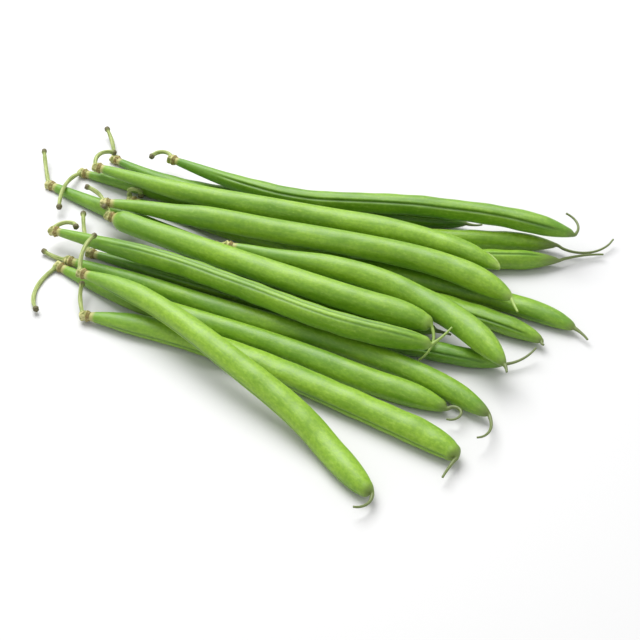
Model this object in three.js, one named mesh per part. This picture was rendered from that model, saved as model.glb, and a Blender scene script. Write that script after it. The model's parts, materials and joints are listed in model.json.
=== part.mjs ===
// A loose heap of seventeen whole green beans: stem ends fanned at -X, tails at +X, nothing tying them.
// Lengths are millimetres, angles are degrees, +Z is up and the beans lie on z = 0.
import * as THREE from "three";

const { degToRad, clamp, lerp } = THREE.MathUtils;

// How the beans lie on each other
const REST_GAP = 0.45;
const DRAPE = 0.002;
const PRESS = 0.45;
const COURSE_STEPS = 96;
const SETTLE_ROUNDS = 3;

// Shape shared by every pod
const NECK_RADIUS = 1.4;
const NECK_LENGTH = 32;
const NECK_FLARE = 0.8;
const SHOULDER = 0.84;
const SHOULDER_AT = 0.1;
const WIDEST_AT = 0.7;
const TIP_LENGTH = 16;
const TIP_TAPER = 0.75;
const FLATNESS = 0.9;
const SEAM_RIDGE = 0.05;
const POD_SIDES = 10;
const POD_STATIONS = 20;

// Thin tail a pod runs out into
const TAIL_ROOT_RADIUS = 0.8;
const TAIL_END_RADIUS = 0.5;
const TAIL_STATIONS = 8;

// Calyx collar and stem
const STEM_GAP = 0.3;
const COLLAR_LENGTH = 2;
const STEM_SIDES = 8;
const STEM_RADIUS = 0.7;
const STEM_KNOB_RADIUS = 1;
const STEM_KNOB_LENGTH = 1.8;
const STEM_STATIONS = 9;
const CALYX_PROFILE = [
  { at: 0, radius: 1.5 },
  { at: 0.5, radius: 1.9 },
  { at: 1.2, radius: 1.6 },
  { at: 1.9, radius: 1.85 },
  { at: 2.6, radius: 1.3 },
  { at: 3.6, radius: 0.8 },
];

const POD_GREEN = new THREE.Color("#6c9f2c");
const POD_SHADED_GREEN = new THREE.Color("#4f8420");
const STEM_GREEN = new THREE.Color("#b3bd7c");

// Beans in the order they are laid, the lowest ones first.
// neck, tip: plan position of the two pod ends. bow, sway, hook: one, two and three waves off the chord.
// width: widest point of the pod. seam: roll of the seam from straight up.
// neckLength: only where it is short. taper: how the tip narrows, from 0.5 round to 1 pointed.
// beak: share of the narrowing that is all on one side.
// stem, tail: kink and lift turn the curve where it leaves the pod, turn and tilt bend it along its length.
const BEANS = [
  {
    name: "bean_02", neck: [-74, -1], tip: [41.5, -62.5], bow: 5.5, sway: 1, hook: 0, width: 9.2,
    seam: 90, neckLength: 16, taper: 0.5, beak: 0.6,
    stem: { length: 16.5, kink: -55, lift: 15, turn: -25, tilt: -10 },
    tail: { length: 9, kink: -70, lift: 0, turn: 10, tilt: 5 },
  },
  {
    name: "bean_03", neck: [-85.5, 24], tip: [39, -42.5], bow: -2.5, sway: -1, hook: -1, width: 8,
    seam: -54, beak: 0.3,
    stem: { length: 27, kink: 80, lift: -5, turn: 75, tilt: 20 },
    tail: { length: 12, kink: 55, lift: 20, turn: -240, tilt: -30 },
  },
  {
    name: "bean_04", neck: [-82.5, 27.5], tip: [51, -46.5], bow: 4.5, sway: -2.5, hook: 0.5, width: 7.6,
    seam: -54, taper: 0.8,
    stem: { length: 12, kink: 10, lift: 0, turn: -25, tilt: 10 },
    tail: { length: 14.5, kink: -30, lift: 0, turn: -75, tilt: 30 },
  },
  {
    name: "bean_08", neck: [-75.5, 31.5], tip: [57, -23.5], bow: -3, sway: 1, hook: -0.5, width: 7.4,
    seam: 54,
    stem: { length: 20.5, kink: -45, lift: 20, turn: -15, tilt: -15 },
    tail: { length: 12.5, kink: 20, lift: 0, turn: 40, tilt: 25 },
  },
  {
    name: "bean_17", neck: [-93.5, 68.5], tip: [37, -8], bow: -4.5, sway: 1, hook: -0.5, width: 7.6,
    seam: -54,
    stem: { length: 18.5, kink: -40, lift: 10, turn: -5, tilt: 10 },
    tail: { length: 5, kink: 0, lift: 0, turn: 0, tilt: 0 },
  },
  {
    name: "bean_09", neck: [-17.5, 28], tip: [71, -11.5], bow: 0.5, sway: -1, hook: -0.5, width: 7.8,
    seam: 54, beak: 0.6,
    stem: { length: 6.5, kink: 0, lift: 0, turn: 0, tilt: 0 },
    tail: { length: 2, kink: -75, lift: 5, turn: 85, tilt: 0 },
  },
  {
    name: "bean_11", neck: [-64, 60], tip: [82, -5.5], bow: -1.5, sway: -1.5, hook: 0.5, width: 7.6,
    seam: 90, beak: 0.5,
    stem: { length: 13.5, kink: -60, lift: 20, turn: 140, tilt: 290 },
    tail: { length: 6, kink: -5, lift: 0, turn: -20, tilt: -5 },
  },
  {
    name: "bean_15", neck: [-82.5, 75.5], tip: [79.5, 26.5], bow: -12, sway: 2.5, hook: 0.5, width: 7.6,
    seam: 18, taper: 1,
    stem: { length: 26, kink: 85, lift: 25, turn: 35, tilt: -35 },
    tail: { length: 16, kink: 25, lift: 0, turn: -25, tilt: 0 },
  },
  {
    name: "bean_14", neck: [-21.5, 55], tip: [79.5, 34.5], bow: -5.5, sway: -1, hook: 0.5, width: 7.4,
    seam: 18, taper: 1,
    stem: { length: 6.5, kink: -25, lift: 30, turn: 100, tilt: 10 },
    tail: { length: 22.5, kink: -35, lift: -5, turn: 100, tilt: 15 },
  },
  {
    name: "bean_16", neck: [-72, 83.5], tip: [50, 46.5], bow: -7.5, sway: -2, hook: -1, width: 7,
    seam: 54, taper: 0.9,
    stem: { length: 18, kink: -50, lift: 5, turn: 25, tilt: 15 },
    tail: { length: 5.5, kink: -20, lift: 0, turn: 40, tilt: 5 },
  },
  {
    name: "bean_07", neck: [-29, 26.5], tip: [57, -31.5], bow: 11, sway: -1.5, hook: -0.5, width: 8.6,
    seam: -45, taper: 0.9, beak: 0.2,
    stem: { length: 6.5, kink: -10, lift: -5, turn: 0, tilt: -5 },
    tail: { length: 3, kink: -5, lift: 0, turn: -25, tilt: -5 },
  },
  {
    name: "bean_06", neck: [-88, 37], tip: [34.5, -23], bow: -2.5, sway: 2, hook: -1, width: 8,
    seam: 12, taper: 0.55,
    stem: { length: 14.5, kink: -75, lift: 15, turn: -170, tilt: 5 },
    tail: { length: 9, kink: 50, lift: 10, turn: 10, tilt: 10 },
  },
  {
    name: "bean_12", neck: [-76.5, 71], tip: [58.5, 15], bow: -0.5, sway: -3, hook: 0, width: 7.8,
    seam: -50, taper: 0.9, beak: 0.3,
    stem: { length: 15.5, kink: -40, lift: 25, turn: -105, tilt: -50 },
    tail: { length: 8, kink: 120, lift: 0, turn: 60, tilt: 15 },
  },
  {
    name: "bean_10", neck: [-71.5, 50], tip: [61.5, -1], bow: 6, sway: -1.5, hook: 1, width: 8.6,
    seam: -45, beak: 0.3,
    stem: { length: 12.5, kink: -70, lift: 5, turn: 75, tilt: 15 },
    tail: { length: 6, kink: -35, lift: 0, turn: 10, tilt: 0 },
  },
  {
    name: "bean_13", neck: [-50.5, 74.5], tip: [84.5, 31], bow: -4.5, sway: -4.5, hook: 0, width: 7.8,
    seam: 10, taper: 0.9,
    stem: { length: 13, kink: -60, lift: 10, turn: 165, tilt: -20 },
    tail: { length: 12, kink: 70, lift: 0, turn: 105, tilt: 15 },
  },
  {
    name: "bean_05", neck: [-70, 44.5], tip: [35.5, -12.5], bow: -3, sway: 0.5, hook: 0, width: 8.8,
    seam: -48, neckLength: 4, taper: 0.5, beak: 0.5,
    stem: { length: 6.5, kink: -100, lift: 35, turn: 190, tilt: 20 },
    tail: { length: 13, kink: -25, lift: -20, turn: -105, tilt: -10 },
  },
  {
    name: "bean_01", neck: [-76, 12], tip: [13.5, -79], bow: 6.5, sway: -0.5, hook: 1, width: 8.6,
    seam: 100, neckLength: 18, taper: 0.55, beak: -0.5,
    stem: { length: 18.5, kink: -50, lift: 35, turn: -45, tilt: -30 },
    tail: { length: 9.5, kink: -40, lift: 0, turn: -90, tilt: 20 },
  },
];

const SHADED_BEANS = ["bean_08", "bean_16"];

// Course of a pod seen from above, as evenly numbered points from neck to tip
function planCourse(bean) {
  const neck = new THREE.Vector2(...bean.neck);
  const chord = new THREE.Vector2(...bean.tip).sub(neck);
  const side = new THREE.Vector2(-chord.y, chord.x).normalize();
  const course = [];
  for (let step = 0; step <= COURSE_STEPS; step += 1) {
    const t = step / COURSE_STEPS;
    const bow = bean.bow * 4 * t * (1 - t);
    const sway = bean.sway * Math.sin(2 * Math.PI * t);
    const hook = bean.hook * Math.sin(3 * Math.PI * t);
    course.push(neck.clone().addScaledVector(chord, t).addScaledVector(side, bow + sway + hook));
  }
  const distances = distancesAlong(course);
  return course.map((point, i) => {
    const ahead = course[Math.min(i + 1, COURSE_STEPS)].clone().sub(course[Math.max(i - 1, 0)]).normalize();
    const right = new THREE.Vector2(ahead.y, -ahead.x);
    return point.clone().addScaledVector(right, beakShift(bean, distances[i], distances[COURSE_STEPS]));
  });
}

function distancesAlong(points) {
  const distances = [0];
  for (let i = 1; i < points.length; i += 1) {
    distances.push(distances[i - 1] + points[i].distanceTo(points[i - 1]));
  }
  return distances;
}

// Radius of a pod at a distance from its neck
function podRadius(bean, distance, length) {
  const widest = bean.width / 2;
  const filled = clamp((distance / length - SHOULDER_AT) / (WIDEST_AT - SHOULDER_AT), 0, 1);
  const body = widest * lerp(SHOULDER, 1, filled);
  const outOfNeck = clamp(distance / (bean.neckLength ?? NECK_LENGTH), 0, 1);
  const neck = lerp(NECK_RADIUS, body, outOfNeck ** NECK_FLARE);
  const intoTip = clamp((distance - (length - TIP_LENGTH)) / TIP_LENGTH, 0, 1);
  return lerp(TAIL_ROOT_RADIUS, neck, (1 - intoTip ** 2) ** (bean.taper ?? TIP_TAPER));
}

// How far to the right a tip's centre moves at a distance from the neck, so that it narrows on one side
function beakShift(bean, distance, length) {
  const beforeTip = podRadius(bean, Math.min(distance, length - TIP_LENGTH), length);
  return (bean.beak ?? 0) * (beforeTip - podRadius(bean, distance, length));
}

// Height a point of a bean needs to clear the surface and every bean already laid
function heightNeeded(bean, point, radius, laid) {
  const roll = degToRad(bean.seam);
  let height = radius * Math.hypot(Math.cos(roll), FLATNESS * Math.sin(roll)) - PRESS;
  for (const other of laid) {
    other.points.forEach((otherPoint, i) => {
      const reach = radius + other.radii[i] + REST_GAP;
      const apart = Math.hypot(point.x - otherPoint.x, point.y - otherPoint.y);
      if (apart < reach) {
        height = Math.max(height, otherPoint.z + Math.sqrt(reach ** 2 - apart ** 2));
      }
    });
  }
  return height;
}

// A bean is stiff, so past each point that holds it up it comes down only slowly
function drapedHeight(distance, distances, needed) {
  let height = 0;
  distances.forEach((support, i) => {
    height = Math.max(height, needed[i] - DRAPE * (distance - support) ** 2);
  });
  return height;
}

// Spine of one bean laid on the beans below it
function layBean(bean, laid) {
  const plan = planCourse(bean);
  let points = plan.map((p) => new THREE.Vector3(p.x, p.y, bean.width / 2));
  let radii = [];
  for (let round = 0; round < SETTLE_ROUNDS; round += 1) {
    const distances = distancesAlong(points);
    const length = distances[COURSE_STEPS];
    radii = distances.map((d) => podRadius(bean, d, length));
    const needed = plan.map((p, i) => heightNeeded(bean, p, radii[i], laid));
    points = plan.map((p, i) => new THREE.Vector3(p.x, p.y, drapedHeight(distances[i], distances, needed)));
  }
  return { bean, points, radii };
}

// Points at given distances along a polyline
function pointsAt(points, wanted) {
  const distances = distancesAlong(points);
  return wanted.map((d) => {
    let i = 1;
    while (i < points.length - 1 && distances[i] < d) {
      i += 1;
    }
    const t = (d - distances[i - 1]) / (distances[i] - distances[i - 1]);
    return points[i - 1].clone().lerp(points[i], t);
  });
}

// A thin curve that leaves a point in a direction and bends evenly in plan and in height
function wander(start, direction, shape, steps) {
  const heading = Math.atan2(direction.y, direction.x);
  const rise = Math.asin(direction.z);
  const points = [start.clone()];
  for (let step = 0; step < steps; step += 1) {
    const t = (step + 0.5) / steps;
    const yaw = heading + degToRad(shape.kink + shape.turn * t);
    const pitch = rise + degToRad(shape.lift + shape.tilt * t);
    const ahead = new THREE.Vector3(
      Math.cos(pitch) * Math.cos(yaw),
      Math.cos(pitch) * Math.sin(yaw),
      Math.sin(pitch),
    );
    points.push(points[step].clone().addScaledVector(ahead, shape.length / steps));
  }
  return points;
}

// Closed tube through stations, each with a centre and a section given as radius by angle from up
function loft(stations, sides, section) {
  const up = new THREE.Vector3(0, 0, 1);
  const rings = stations.length;
  const vertices = [];
  stations.forEach((station, k) => {
    const before = stations[Math.max(k - 1, 0)].centre;
    const after = stations[Math.min(k + 1, rings - 1)].centre;
    const ahead = after.clone().sub(before).normalize();
    const right = ahead.clone().cross(up).normalize();
    const over = right.clone().cross(ahead);
    for (let side = 0; side < sides; side += 1) {
      const angle = (2 * Math.PI * side) / sides;
      const [across, upward] = section(station, angle);
      const vertex = station.centre.clone().addScaledVector(right, across).addScaledVector(over, upward);
      vertex.z = Math.max(vertex.z, 0);
      vertices.push(vertex);
    }
  });
  const startPole = vertices.push(stations[0].centre.clone()) - 1;
  const endPole = vertices.push(stations[rings - 1].centre.clone()) - 1;
  const faces = [];
  for (let side = 0; side < sides; side += 1) {
    const next = (side + 1) % sides;
    for (let k = 0; k < rings - 1; k += 1) {
      const here = k * sides;
      const there = here + sides;
      faces.push(here + side, here + next, there + side);
      faces.push(here + next, there + next, there + side);
    }
    const last = (rings - 1) * sides;
    faces.push(startPole, next, side);
    faces.push(endPole, last + side, last + next);
  }
  const geometry = new THREE.BufferGeometry();
  const coordinates = vertices.flatMap((vertex) => [vertex.x, vertex.y, vertex.z]);
  geometry.setAttribute("position", new THREE.Float32BufferAttribute(coordinates, 3));
  geometry.setIndex(faces);
  geometry.computeVertexNormals();
  return geometry;
}

// Pod section: an oval, longest through the seams, rolled about the spine
function podSection(bean) {
  const roll = degToRad(bean.seam);
  return ({ radius }, angle) => {
    const ridge = 1 - SEAM_RIDGE + SEAM_RIDGE * Math.cos(angle) ** 2;
    const along = radius * ridge * Math.cos(angle);
    const over = radius * ridge * FLATNESS * Math.sin(angle);
    return [over * Math.cos(roll) + along * Math.sin(roll), along * Math.cos(roll) - over * Math.sin(roll)];
  };
}

function roundSection({ radius }, angle) {
  return [radius * Math.sin(angle), radius * Math.cos(angle)];
}

// Pod and tail in one skin
function podGeometry(laidBean) {
  const { bean, points } = laidBean;
  const length = distancesAlong(points)[COURSE_STEPS];
  const wanted = [];
  for (let k = 0; k < POD_STATIONS; k += 1) {
    wanted.push((length / 2) * (1 - Math.cos((Math.PI * k) / (POD_STATIONS - 1))));
  }
  const stations = pointsAt(points, wanted).map((centre, k) => (
    { centre, radius: podRadius(bean, wanted[k], length) }
  ));
  const tip = points[COURSE_STEPS];
  const ahead = tip.clone().sub(points[COURSE_STEPS - 3]).normalize();
  const tail = wander(tip, ahead, bean.tail, TAIL_STATIONS);
  tail.slice(1).forEach((centre, k) => {
    const radius = lerp(TAIL_ROOT_RADIUS, TAIL_END_RADIUS, (k + 1) / TAIL_STATIONS);
    stations.push({ centre, radius });
  });
  return loft(stations, POD_SIDES, podSection(bean));
}

// Calyx collar and the cut stem that grows out of it
function stemGeometry(laidBean) {
  const { bean, points } = laidBean;
  const outward = points[0].clone().sub(points[3]).normalize();
  const calyxEnd = CALYX_PROFILE[CALYX_PROFILE.length - 1].at;
  const knobStart = bean.stem.length - STEM_KNOB_LENGTH;
  const profile = [...CALYX_PROFILE];
  for (let k = 1; k < STEM_STATIONS; k += 1) {
    profile.push({ at: lerp(calyxEnd, knobStart, k / (STEM_STATIONS - 1)), radius: STEM_RADIUS });
  }
  profile.push({ at: bean.stem.length - STEM_KNOB_LENGTH / 2, radius: STEM_KNOB_RADIUS });
  profile.push({ at: bean.stem.length, radius: STEM_KNOB_RADIUS * 0.8 });
  const start = points[0].clone().addScaledVector(outward, STEM_GAP);
  const collarEnd = start.clone().addScaledVector(outward, COLLAR_LENGTH);
  const free = { ...bean.stem, length: bean.stem.length - COLLAR_LENGTH };
  const course = [start, ...wander(collarEnd, outward, free, COURSE_STEPS)];
  const centres = pointsAt(course, profile.map((p) => p.at));
  const stations = profile.map((p, k) => ({ centre: centres[k], radius: p.radius }));
  return loft(stations, STEM_SIDES, roundSection);
}

function addMesh(group, name, geometry, color, roughness) {
  const material = new THREE.MeshStandardMaterial({ color, roughness, metalness: 0 });
  const mesh = new THREE.Mesh(geometry, material);
  mesh.name = name;
  group.add(mesh);
}

// The origin is the middle of the heap's footprint, on the surface it lies on
function centreOnFootprint(group) {
  const box = new THREE.Box3().setFromObject(group);
  const centre = box.getCenter(new THREE.Vector3());
  for (const mesh of group.children) {
    mesh.geometry.translate(-centre.x, -centre.y, -box.min.z);
  }
}

const bundle = new THREE.Group();
bundle.name = "green_bean_bundle";
const laid = [];
for (const bean of BEANS) {
  laid.push(layBean(bean, laid));
}
for (const laidBean of laid) {
  const { name } = laidBean.bean;
  const green = SHADED_BEANS.includes(name) ? POD_SHADED_GREEN : POD_GREEN;
  addMesh(bundle, `${name}_pod`, podGeometry(laidBean), green, 0.4);
  addMesh(bundle, `${name}_stem`, stemGeometry(laidBean), STEM_GREEN, 0.65);
}
centreOnFootprint(bundle);

export default bundle;
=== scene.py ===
"""Looks of a loose bunch of green beans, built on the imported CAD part.

Lengths are metres unless a name says mm. A bean's course runs from its stem end to its tail.
"""
import json
import math

import bpy
import numpy as np
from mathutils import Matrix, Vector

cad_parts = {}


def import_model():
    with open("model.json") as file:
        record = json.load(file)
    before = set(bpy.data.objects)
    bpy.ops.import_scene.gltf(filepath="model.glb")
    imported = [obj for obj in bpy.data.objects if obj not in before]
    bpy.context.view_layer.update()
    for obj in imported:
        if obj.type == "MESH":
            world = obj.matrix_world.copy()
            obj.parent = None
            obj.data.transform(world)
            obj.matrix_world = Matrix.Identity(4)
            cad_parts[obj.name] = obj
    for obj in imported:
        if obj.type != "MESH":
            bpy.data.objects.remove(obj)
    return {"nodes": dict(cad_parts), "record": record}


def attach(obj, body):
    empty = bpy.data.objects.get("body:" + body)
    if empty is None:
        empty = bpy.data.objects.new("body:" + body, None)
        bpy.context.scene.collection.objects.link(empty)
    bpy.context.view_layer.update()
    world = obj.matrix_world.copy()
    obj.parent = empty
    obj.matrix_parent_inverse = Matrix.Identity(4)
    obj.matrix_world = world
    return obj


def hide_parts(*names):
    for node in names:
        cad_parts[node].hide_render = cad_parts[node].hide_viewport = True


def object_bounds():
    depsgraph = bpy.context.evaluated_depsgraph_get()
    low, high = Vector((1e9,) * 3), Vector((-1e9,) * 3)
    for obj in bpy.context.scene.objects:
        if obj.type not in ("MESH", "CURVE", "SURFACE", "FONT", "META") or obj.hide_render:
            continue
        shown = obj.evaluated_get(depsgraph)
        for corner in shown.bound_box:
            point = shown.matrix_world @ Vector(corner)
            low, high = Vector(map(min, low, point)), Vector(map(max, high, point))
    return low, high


MM = 0.001

# Camera: a long lens looking down on the bunch
ELEVATION = 42
DISTANCE = 0.574
AIM = (0, -0.0077, 0)
LENS_MM = 100
SENSOR_MM = 36

# Light: an evenly white room and one large soft lamp behind and above the bunch
ROOM_BRIGHTNESS = 0.68
LAMP_PLACE = (-0.25, 0.5, 0.85)
LAMP_SIZE = 0.9
LAMP_WATTS = 12.8

# Floor, just below the surface that the part lies on
FLOOR_HALF_WIDTH = 6
FLOOR_DROP = 0.02 * MM

# Fine skins made from the CAD rings
WELD = 1e-6
ROWS_PER_RING = 10
POD_COLUMNS = 56
STEM_COLUMNS = 28
SEAM_CROWDING = 0.35
TAIL_RINGS = 8
TAIL_SLIMMING = 0.72
CUP_REACH = 0.5 * MM

# Every bean starts its patterns at its own place, a golden share of a turn after the one before
POD_GOLDEN_SHARE = 0.381966
STEM_GOLDEN_SHARE = 0.618034
PATTERN_STEP_MM = 40

# Swellings over the seeds and slow unevenness, as shares of the radius
SEED_SPACING = 11 * MM
SECOND_SEED_SPACING = 1.63 * SEED_SPACING
SEED_SWELL = 0.035
UNEVENNESS = 0.024
LONG_WAVE = 17 * MM
SHORT_WAVE = 7.3 * MM

# Seam: a groove with low lips, or two grooves with a ridge between them
SEAM_WIDTH = 0.45 * MM
SEAM_DEPTH = 0.16 * MM
LIP_HEIGHT = 0.05 * MM
LIP_OFFSET = 1.7 * SEAM_WIDTH
PLAIN_SEAM = 0.7
# How bold each seam is: the depth of its groove and lips, and the painted shade in its groove
BOLD_SEAM = {
    "bean_01": 1.0, "bean_02": 1.2, "bean_06": 1.3, "bean_08": 1.6, "bean_09": 1.6, "bean_13": 2.4,
    "bean_14": 0.2, "bean_15": 1.8,
}
TWIN_SEAM = {"bean_06": 1.2 * MM}
# How far a seam lies round from the pod's widest side, in radians, at the stem end and at the tip
SEAM_TURN = {"bean_13": (-0.5, -0.85)}

# How light each pod is, from 0 dark to 1 pale: each pod's own tone, and on bean_08 and bean_16, which lie in
# shade under other pods, painted shade too
TONE_AND_SHADE = {
    "bean_01": 0.75, "bean_02": 0.65, "bean_03": 0.5, "bean_04": 0.4, "bean_05": 0.55, "bean_06": 0.5,
    "bean_07": 0.5, "bean_08": 0.1, "bean_09": 0.4, "bean_10": 0.6, "bean_11": 0.4, "bean_12": 0.6,
    "bean_13": 0.3, "bean_14": 0.65, "bean_15": 0.5, "bean_16": 0.05, "bean_17": 0.3,
}

# Lobes and ribs round a stem and knots along it, as shares of its radius
LOBES = 5
LOBE_HEIGHT = 0.06
RIBS = 6
RIB_HEIGHT = 0.05
KNOT_WAVE = 1.3 * MM
KNOT_HEIGHT = 0.06

# Tails are dull olive, apart from some pale green ones; on three beans the dull colour starts far up the tip
PALE_TAIL = {"bean_05": 0.9, "bean_06": 0.8, "bean_10": 1.0, "bean_12": 0.9}
TAIL_REACH = 4 * MM
LONG_TAIL_REACH = {"bean_04": 6 * MM, "bean_14": 9 * MM, "bean_15": 10 * MM}


def linear(red, green, blue):
    """An 8-bit screen colour as the linear colour that a shader takes."""
    parts = [c / 255 for c in (red, green, blue)]
    return tuple(c / 12.92 if c <= 0.04045 else ((c + 0.055) / 1.055) ** 2.4 for c in parts) + (1,)


# Reading the CAD rings

def welded(node):
    """The distinct corners of a CAD mesh and, for each, the set of corners it shares an edge with."""
    corners = np.array([tuple(v.co) for v in node.data.vertices])
    _, first, same = np.unique(np.round(corners / WELD), axis=0, return_index=True, return_inverse=True)
    same = same.ravel()
    links = [set() for _ in first]
    for edge in node.data.edges:
        a, b = (same[i] for i in edge.vertices)
        if a != b:
            links[a].add(b)
            links[b].add(a)
    return corners[first], links


def turned_order(points, ring, ahead):
    """The corners of a ring, in turning order about the direction ahead."""
    centre = points[ring].mean(axis=0)
    across = np.cross(ahead, points[ring[0]] - centre)
    over = np.cross(across, ahead)
    spokes = points[ring] - centre
    angles = np.arctan2(spokes @ across / np.linalg.norm(across), spokes @ over / np.linalg.norm(over))
    return [ring[i] for i in np.argsort(angles)]


def cad_rings(node):
    """Rings of a lofted CAD solid from its thick end on, as an array of ring, side and coordinate."""
    points, links = welded(node)
    sides = max(len(near) for near in links)
    poles = [i for i, near in enumerate(links) if len(near) == sides]
    spread = [np.ptp(points[sorted(links[pole])], axis=0).max() for pole in poles]
    start = poles[int(np.argmax(spread))]
    first = sorted(links[start])
    beyond = set().union(*(links[i] for i in first)) - set(first) - {start}
    ahead = points[sorted(beyond)].mean(axis=0) - points[start]
    ring = turned_order(points, first, ahead)
    rings = []
    seen = {start}
    while len(set(ring)) == sides:
        rings.append(points[ring])
        seen |= set(ring)
        following = [links[i] - seen for i in ring]
        shared = [following[s] & following[(s + 1) % sides] for s in range(sides)]
        ring = [corner for corners in shared for corner in corners]
    return np.array(rings)


def spine_and_spokes(rings):
    """Centre of each ring, and the two half-widths of its oval as arrows: to the seam and to the flank."""
    sides = rings.shape[1]
    turn = 2 * np.pi * np.arange(sides) / sides
    centre = rings.mean(axis=1)
    spokes = rings - centre[:, None]
    widest = int(np.argmax(np.linalg.norm(spokes[len(rings) // 2], axis=1)[: sides // 2]))
    spokes = np.roll(spokes, -widest, axis=1)
    seam = 2 / sides * np.einsum("s,ksc->kc", np.cos(turn), spokes)
    flank = 2 / sides * np.einsum("s,ksc->kc", np.sin(turn), spokes)
    return centre, seam, flank


def smoothed(stations, values, at):
    """Values known at some stations, read in between along a smooth curve through them."""
    slopes = np.gradient(values, stations, axis=0)
    k = np.clip(np.searchsorted(stations, at, side="right") - 1, 0, len(stations) - 2)
    gap = (stations[k + 1] - stations[k])[:, None]
    t = (at - stations[k])[:, None] / gap
    start = (1 + 2 * t) * (1 - t) ** 2 * values[k] + t * (1 - t) ** 2 * gap * slopes[k]
    end = t ** 2 * (3 - 2 * t) * values[k + 1] + t ** 2 * (t - 1) * gap * slopes[k + 1]
    return start + end


def fine_course(rings):
    """Where the CAD rings lie along the course, and close rows with their centres and two spokes."""
    centre, seam, flank = spine_and_spokes(rings)
    steps = np.linalg.norm(np.diff(centre, axis=0), axis=1)
    stations = np.concatenate([[0], np.cumsum(steps)])
    rows = (len(stations) - 1) * ROWS_PER_RING + 1
    at = np.interp(np.arange(rows) / ROWS_PER_RING, np.arange(len(stations)), stations)
    centre, seam, flank = (smoothed(stations, values, at) for values in (centre, seam, flank))
    return stations, at, centre, seam, flank


# Making the fine skins

def step_up(low, high, value):
    """0 below low and 1 above high, with a smooth rise between."""
    t = np.clip((value - low) / (high - low), 0, 1)
    return t * t * (3 - 2 * t)


def skin_mesh(name, grid, start, end):
    """A closed tube from a grid of rows and columns and its two end points."""
    rows, columns = grid.shape[:2]
    points = np.concatenate([grid.reshape(-1, 3), [start, end]])
    faces = []
    for k in range(rows - 1):
        here, there = k * columns, (k + 1) * columns
        for s in range(columns):
            after = (s + 1) % columns
            faces.append((here + s, here + after, there + after, there + s))
    last = (rows - 1) * columns
    for s in range(columns):
        after = (s + 1) % columns
        faces.append((rows * columns, after, s))
        faces.append((rows * columns + 1, last + s, last + after))
    mesh = bpy.data.meshes.new(name)
    mesh.from_pydata([tuple(p) for p in points], [], faces)
    mesh.polygons.foreach_set("use_smooth", [True] * len(faces))
    return mesh


def write_numbers(mesh, name, numbers):
    layer = mesh.attributes.new(name, "FLOAT", "POINT")
    layer.data.foreach_set("value", numbers.astype(np.float32).ravel())


def write_vectors(mesh, name, vectors):
    layer = mesh.attributes.new(name, "FLOAT_VECTOR", "POINT")
    layer.data.foreach_set("vector", vectors.astype(np.float32).ravel())


def with_ends(values, start, end):
    """A grid of values by vertex, with the values of the two end points after it."""
    return np.concatenate([values.reshape(-1, values.shape[-1]), np.atleast_2d(start), np.atleast_2d(end)])


def seam_relief(bean, away):
    """Height of the seam over the skin, and how strong the painted shade in its groove is, at a distance
    from the seam.
    """
    boldness = BOLD_SEAM.get(bean, PLAIN_SEAM)
    offset = TWIN_SEAM.get(bean, 0)
    groove = np.exp(-(((away - offset) / SEAM_WIDTH) ** 2))
    lip = np.exp(-(((away - offset - LIP_OFFSET) / SEAM_WIDTH) ** 2))
    return boldness * (LIP_HEIGHT * lip - SEAM_DEPTH * groove), np.clip(boldness * groove, 0, 1)


def seam_columns(bean, at, length):
    """The columns' angles from the seam, crowded near it, and from the pod's widest side in each row."""
    even = np.linspace(0, 2 * np.pi, POD_COLUMNS, endpoint=False)
    from_seam = even - SEAM_CROWDING * np.sin(2 * even)
    seam_turn = np.interp(at, (0, length), SEAM_TURN.get(bean, (0, 0)))
    return from_seam, from_seam[None] - seam_turn[:, None]


def pod_swelling(at, turn, tail_start, phase):
    """How much wider the pod is at each place for its seeds and its unevenness, as a share."""
    body = step_up(12 * MM, 30 * MM, at) * (1 - step_up(tail_start - 14 * MM, tail_start - 3 * MM, at))
    beads = np.sin(2 * np.pi * at / SEED_SPACING + phase)
    beads += 0.5 * np.sin(2 * np.pi * at / SECOND_SEED_SPACING)
    swell = SEED_SWELL * body * beads
    slow = np.sin(at[:, None] / LONG_WAVE + 2 * turn + phase)
    slow += 0.6 * np.sin(at[:, None] / SHORT_WAVE - 3 * turn + 2 * phase)
    return swell[:, None] * np.sin(turn) ** 2 + UNEVENNESS * body[:, None] * slow


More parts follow.
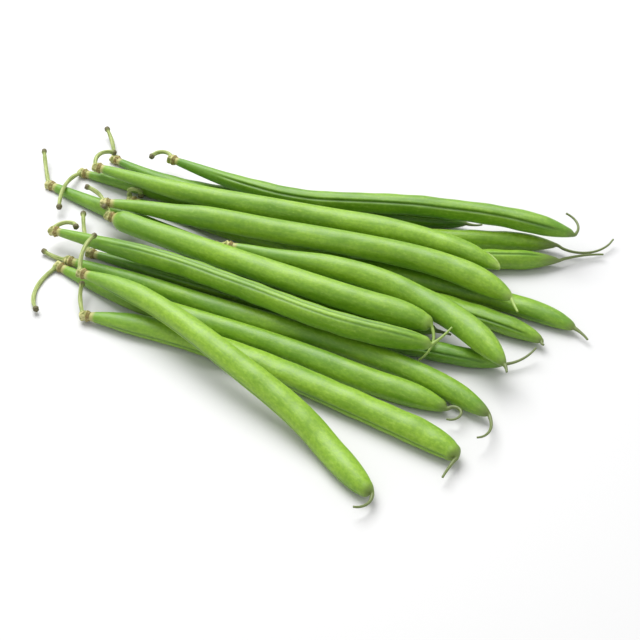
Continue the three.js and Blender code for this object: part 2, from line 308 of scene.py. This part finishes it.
def pod_piece(node, bean, number, box):
    """The fine skin of a pod and its tail, kept inside the CAD's box, with what its material reads."""
    stations, at, centre, seam, flank = fine_course(cad_rings(node))
    tail_start = stations[-1 - TAIL_RINGS]
    full = np.linalg.norm(seam, axis=1)
    phase = 2 * np.pi * (number * POD_GOLDEN_SHARE % 1)
    from_seam, turn = seam_columns(bean, at, stations[-1])
    slim = 1 - (1 - TAIL_SLIMMING) * step_up(tail_start - 1.5 * MM, tail_start + 3 * MM, at)
    scale = slim[:, None] * (1 + pod_swelling(at, turn, tail_start, phase))
    to_seam = np.abs(np.arctan2(np.sin(from_seam), np.cos(from_seam)))
    near_seam = np.minimum(to_seam, np.pi - to_seam)
    relief, seam_shade = seam_relief(bean, near_seam[None] * full[:, None])
    fade = step_up(2.2 * MM, 3.4 * MM, full)[:, None]
    scale = scale + relief * fade / full[:, None]
    spokes = np.cos(turn)[..., None] * seam[:, None] + np.sin(turn)[..., None] * flank[:, None]
    grid = np.clip(centre[:, None] + spokes * scale[..., None], *box)
    mesh = skin_mesh(f"{bean}_skin", grid, centre[0], centre[-1])

    along = np.repeat(at[:, None], POD_COLUMNS, axis=1)
    across = np.cos(turn) * full[:, None]
    sideways = np.sin(turn) * full[:, None]
    skin = np.stack([along, across, sideways], axis=-1) / MM + PATTERN_STEP_MM * number
    necks = 1 - step_up(6 * MM, 45 * MM, along)
    tails = step_up(tail_start - LONG_TAIL_REACH.get(bean, TAIL_REACH), tail_start + 1.5 * MM, along)
    # The third mark is painted shade along the seam groove
    marks = np.stack([necks, tails, seam_shade * fade], axis=-1)
    collars = 1 - step_up(0.8 * MM, 2.4 * MM, along)
    write_vectors(mesh, "skin", with_ends(skin, skin[0, 0], skin[-1, 0]))
    write_vectors(mesh, "marks", with_ends(marks, (1, 0, 0), (0, 1, 0)))
    write_numbers(mesh, "collar", with_ends(collars[..., None], 1, 0))
    # Each pod's own tone, with painted shade on the pods that lie in shade
    write_numbers(mesh, "tone_and_shade", np.full(len(mesh.vertices), TONE_AND_SHADE[bean]))
    write_numbers(mesh, "pale_tail", np.full(len(mesh.vertices), PALE_TAIL.get(bean, 0)))
    return mesh


def stem_piece(node, bean, number, box):
    """The fine skin of a calyx and its stem, kept inside the CAD's box, with what its material reads."""
    stations, at, centre, over, side = fine_course(cad_rings(node))
    ahead = centre[1] - centre[0]
    centre[0] -= ahead / np.linalg.norm(ahead) * CUP_REACH
    full = np.linalg.norm(over, axis=1)[:, None]
    phase = 2 * np.pi * (number * STEM_GOLDEN_SHARE % 1)
    turn = np.linspace(0, 2 * np.pi, STEM_COLUMNS, endpoint=False)
    cup = 1 - step_up(2.2 * MM, 3.6 * MM, at)
    lobes = LOBE_HEIGHT * np.sin(LOBES * turn + phase)[None] * cup[:, None]
    ribs = RIB_HEIGHT * np.sin(RIBS * turn)[None] * (1 - cup[:, None])
    knots = KNOT_HEIGHT * np.sin(at / KNOT_WAVE + phase)[:, None] * (1 - cup[:, None])
    spokes = np.cos(turn)[None, :, None] * over[:, None] + np.sin(turn)[None, :, None] * side[:, None]
    grid = np.clip(centre[:, None] + spokes * (1 + lobes + ribs + knots)[..., None], *box)
    mesh = skin_mesh(f"{bean}_stalk", grid, centre[0], centre[-1])

    along = np.repeat(at[:, None], STEM_COLUMNS, axis=1)
    across = np.cos(turn)[None] * full
    sideways = np.sin(turn)[None] * full
    skin = np.stack([along, across, sideways], axis=-1) / MM + PATTERN_STEP_MM * number
    cups = np.repeat(cup[:, None], STEM_COLUMNS, axis=1)
    cuts = step_up(stations[-1] - 2.2 * MM, stations[-1] - 0.6 * MM, along)
    edges = 1 - step_up(0.2 * MM, 1.1 * MM, along)
    marks = np.stack([cups, cuts, edges], axis=-1)
    write_vectors(mesh, "skin", with_ends(skin, skin[0, 0], skin[-1, 0]))
    write_vectors(mesh, "marks", with_ends(marks, (1, 0, 0), (0, 1, 0)))
    return mesh


# Materials

class Nodes:
    """A material's node tree, with short ways to add and join nodes."""

    def __init__(self, name):
        self.material = bpy.data.materials.new(name)
        self.material.use_nodes = True
        self.tree = self.material.node_tree
        self.shader = self.tree.nodes["Principled BSDF"]

    def add(self, kind, **settings):
        node = self.tree.nodes.new(kind)
        for key, value in settings.items():
            setattr(node, key, value)
        return node

    def join(self, out, into):
        self.tree.links.new(out, into)

    def attribute(self, name, output="Fac"):
        return self.add("ShaderNodeAttribute", attribute_name=name).outputs[output]

    def parts(self, name):
        """The three numbers that a vector attribute holds."""
        node = self.add("ShaderNodeSeparateXYZ")
        self.join(self.attribute(name, "Vector"), node.inputs[0])
        return node.outputs

    def math(self, operation, a, b):
        node = self.add("ShaderNodeMath", operation=operation)
        for socket, value in zip(node.inputs, (a, b)):
            if isinstance(value, (int, float)):
                socket.default_value = value
            else:
                self.join(value, socket)
        return node.outputs[0]

    def mix(self, factor, a, b):
        """Colour a turning into colour b as factor goes from 0 to 1."""
        node = self.add("ShaderNodeMix", data_type="RGBA")
        for socket, value in zip((node.inputs[0], node.inputs[6], node.inputs[7]), (factor, a, b)):
            if isinstance(value, (int, float, tuple)):
                socket.default_value = value
            else:
                self.join(value, socket)
        return node.outputs[2]

    def stretched(self, vector, scale):
        node = self.add("ShaderNodeMapping")
        node.inputs["Scale"].default_value = scale
        self.join(vector, node.inputs["Vector"])
        return node.outputs[0]

    def noise(self, vector, scale, detail=3, roughness=0.5):
        node = self.add("ShaderNodeTexNoise")
        node.inputs["Scale"].default_value = scale
        node.inputs["Detail"].default_value = detail
        node.inputs["Roughness"].default_value = roughness
        self.join(vector, node.inputs["Vector"])
        return node.outputs["Fac"]

    def ramp(self, factor, low, high, low_value=0.0, high_value=1.0):
        """A smooth step from low_value to high_value while factor goes from low to high."""
        node = self.add("ShaderNodeMapRange", interpolation_type="SMOOTHSTEP")
        for socket, value in zip(node.inputs[1:5], (low, high, low_value, high_value)):
            socket.default_value = value
        self.join(factor, node.inputs[0])
        return node.outputs[0]

    def bump(self, height, strength, distance):
        node = self.add("ShaderNodeBump")
        node.inputs["Strength"].default_value = strength
        node.inputs["Distance"].default_value = distance
        self.join(height, node.inputs["Height"])
        self.join(node.outputs[0], self.shader.inputs["Normal"])

    def set(self, **values):
        """Set shader sockets that are the same all over, named with underscores for spaces."""
        for name, value in values.items():
            self.shader.inputs[name.replace("_", " ")].default_value = value


def pod_material():
    """Leaf green with clouds, streaks and a fine mottle, painted shade along the seam grooves and on pods
    that lie in shade, dull tails and a pale neck end.
    """
    nodes = Nodes("pod_skin")
    skin = nodes.attribute("skin", "Vector")
    neck, tail, seam = nodes.parts("marks")
    clouds = nodes.noise(nodes.stretched(skin, (0.05, 0.16, 0.16)), 1.0)
    streaks = nodes.noise(nodes.stretched(skin, (0.2, 1.1, 1.1)), 1.0, detail=4, roughness=0.6)
    mottle = nodes.noise(nodes.stretched(skin, (0.75, 1.1, 1.1)), 1.0, detail=4, roughness=0.65)

    cloud_share = nodes.math("MULTIPLY", clouds, 0.9)
    # Each pod's tone lightens or darkens the green; on the pods that lie in shade this is painted shade
    tone_and_shade_share = nodes.math("MULTIPLY", nodes.attribute("tone_and_shade"), 0.55)
    lightness = nodes.math("ADD", cloud_share, tone_and_shade_share)
    green = nodes.mix(nodes.ramp(lightness, 0.3, 1.0), linear(78, 131, 6), linear(141, 183, 36))
    green = nodes.mix(nodes.ramp(streaks, 0.5, 0.75, 0.0, 0.2), green, linear(176, 202, 100))
    green = nodes.mix(nodes.ramp(streaks, 0.5, 0.28, 0.0, 0.2), green, linear(72, 120, 14))
    green = nodes.mix(nodes.ramp(mottle, 0.36, 0.6, 0.3, 0.0), green, linear(76, 124, 10))
    green = nodes.mix(nodes.ramp(mottle, 0.55, 0.75, 0.0, 0.25), green, linear(182, 206, 112))
    green = nodes.mix(nodes.math("MULTIPLY", neck, 0.35), green, linear(92, 142, 44))
    # Painted shade along the seam groove
    green = nodes.mix(nodes.math("MULTIPLY", seam, 0.55), green, linear(54, 98, 8))
    ragged = nodes.ramp(mottle, 0.3, 0.5, 0.5, 1.0)
    neck_end = nodes.math("MULTIPLY", nodes.attribute("collar"), ragged)
    green = nodes.mix(neck_end, green, linear(176, 172, 104))
    tail_colour = nodes.mix(nodes.attribute("pale_tail"), linear(104, 118, 62), linear(150, 178, 84))
    nodes.join(nodes.mix(tail, green, tail_colour), nodes.shader.inputs["Base Color"])

    nodes.join(nodes.ramp(mottle, 0.3, 0.7, 0.4, 0.52), nodes.shader.inputs["Roughness"])
    nodes.bump(nodes.math("ADD", mottle, streaks), 0.35, 0.15 * MM)
    nodes.set(Specular_IOR_Level=0.6)
    nodes.set(Subsurface_Weight=0.12, Subsurface_Radius=(0.8, 1.0, 0.2), Subsurface_Scale=1.2 * MM)
    nodes.set(Sheen_Weight=0.1, Sheen_Roughness=0.4, Sheen_Tint=linear(244, 246, 226))
    return nodes.material


def stem_material():
    """Fibrous olive green, with a cream calyx that has a brown edge, and a dark dried cut."""
    nodes = Nodes("stem_skin")
    skin = nodes.attribute("skin", "Vector")
    cup, cut, edge = nodes.parts("marks")
    fibres = nodes.noise(nodes.stretched(skin, (0.25, 2.2, 2.2)), 1.0, detail=4, roughness=0.6)
    spots = nodes.noise(skin, 1.1, detail=3)

    green = nodes.mix(nodes.ramp(fibres, 0.3, 0.7), linear(118, 138, 62), linear(176, 188, 118))
    calyx = nodes.mix(nodes.ramp(spots, 0.38, 0.62), linear(128, 134, 62), linear(204, 200, 138))
    ragged = nodes.ramp(fibres, 0.3, 0.6)
    calyx = nodes.mix(nodes.math("MULTIPLY", edge, ragged), calyx, linear(138, 108, 62))
    colour = nodes.mix(nodes.math("MULTIPLY", cup, 0.9), green, calyx)
    colour = nodes.mix(nodes.math("MULTIPLY", cut, 0.85), colour, linear(84, 70, 50))
    nodes.join(colour, nodes.shader.inputs["Base Color"])

    nodes.join(nodes.ramp(spots, 0.3, 0.7, 0.5, 0.7), nodes.shader.inputs["Roughness"])
    nodes.bump(fibres, 0.5, 0.2 * MM)
    nodes.set(Subsurface_Weight=0.08, Subsurface_Radius=(0.8, 0.9, 0.3), Subsurface_Scale=0.8 * MM)
    return nodes.material


def floor_material():
    """Matt off-white with very faint clouds."""
    nodes = Nodes("white_surface")
    place = nodes.add("ShaderNodeTexCoord").outputs["Object"]
    clouds = nodes.noise(place, 3.0, detail=2)
    colour = nodes.mix(nodes.ramp(clouds, 0.3, 0.7), linear(213, 213, 214), linear(217, 217, 217))
    nodes.join(colour, nodes.shader.inputs["Base Color"])
    nodes.set(Roughness=0.6, Specular_IOR_Level=0.2)
    return nodes.material


# The scene

def place(mesh, material, node_name, slot):
    """Put a finished skin in the scene, in place of the CAD node it was made from."""
    mesh.materials.append(material)
    piece = bpy.data.objects.new(mesh.name, mesh)
    bpy.context.scene.collection.objects.link(piece)
    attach(piece, "root")
    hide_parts(node_name)


def make_camera():
    data = bpy.data.cameras.new("camera")
    data.lens = LENS_MM
    data.sensor_width = SENSOR_MM
    data.clip_end = 20
    camera = bpy.data.objects.new("camera", data)
    height = math.radians(ELEVATION)
    camera.location = (
        AIM[0],
        AIM[1] - DISTANCE * math.cos(height),
        AIM[2] + DISTANCE * math.sin(height),
    )
    camera.rotation_euler = (math.pi / 2 - height, 0, 0)
    bpy.context.scene.collection.objects.link(camera)
    bpy.context.scene.camera = camera


def make_floor():
    mesh = bpy.data.meshes.new("floor")
    signs = [(-1, -1), (1, -1), (1, 1), (-1, 1)]
    corners = [(x * FLOOR_HALF_WIDTH, y * FLOOR_HALF_WIDTH, 0) for x, y in signs]
    mesh.from_pydata(corners, [], [(0, 1, 2, 3)])
    mesh.materials.append(floor_material())
    floor = bpy.data.objects.new("floor", mesh)
    floor.location.z = -FLOOR_DROP
    bpy.context.scene.collection.objects.link(floor)


def make_room():
    world = bpy.data.worlds.new("white_room")
    world.use_nodes = True
    background = world.node_tree.nodes["Background"]
    background.inputs["Color"].default_value = (1, 1, 1, 1)
    background.inputs["Strength"].default_value = ROOM_BRIGHTNESS
    bpy.context.scene.world = world


def make_lamp():
    """A soft round lamp that points at the origin."""
    data = bpy.data.lights.new("overhead", "AREA")
    data.shape = "DISK"
    data.size = LAMP_SIZE
    data.energy = LAMP_WATTS
    lamp = bpy.data.objects.new("overhead", data)
    lamp.location = LAMP_PLACE
    x, y, z = LAMP_PLACE
    pitch = math.atan2(math.hypot(x, y), z)
    yaw = math.atan2(-y, -x) - math.pi / 2
    lamp.rotation_euler = (pitch, 0, yaw)
    bpy.context.scene.collection.objects.link(lamp)


def main():
    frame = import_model()
    cad_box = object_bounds()
    make_camera()
    pods, stems = pod_material(), stem_material()
    slots = {part["node"]: part["material_slot"] for part in frame["record"]["subparts"]}
    for name, node in sorted(frame["nodes"].items()):
        bean, part = name.rsplit("_", 1)
        number = int(bean.split("_")[1])
        if part == "pod":
            place(pod_piece(node, bean, number, cad_box), pods, name, slots[name])
        else:
            place(stem_piece(node, bean, number, cad_box), stems, name, slots[name])
    make_floor()
    make_room()
    make_lamp()
    bpy.context.scene.view_settings.view_transform = "Standard"


main()
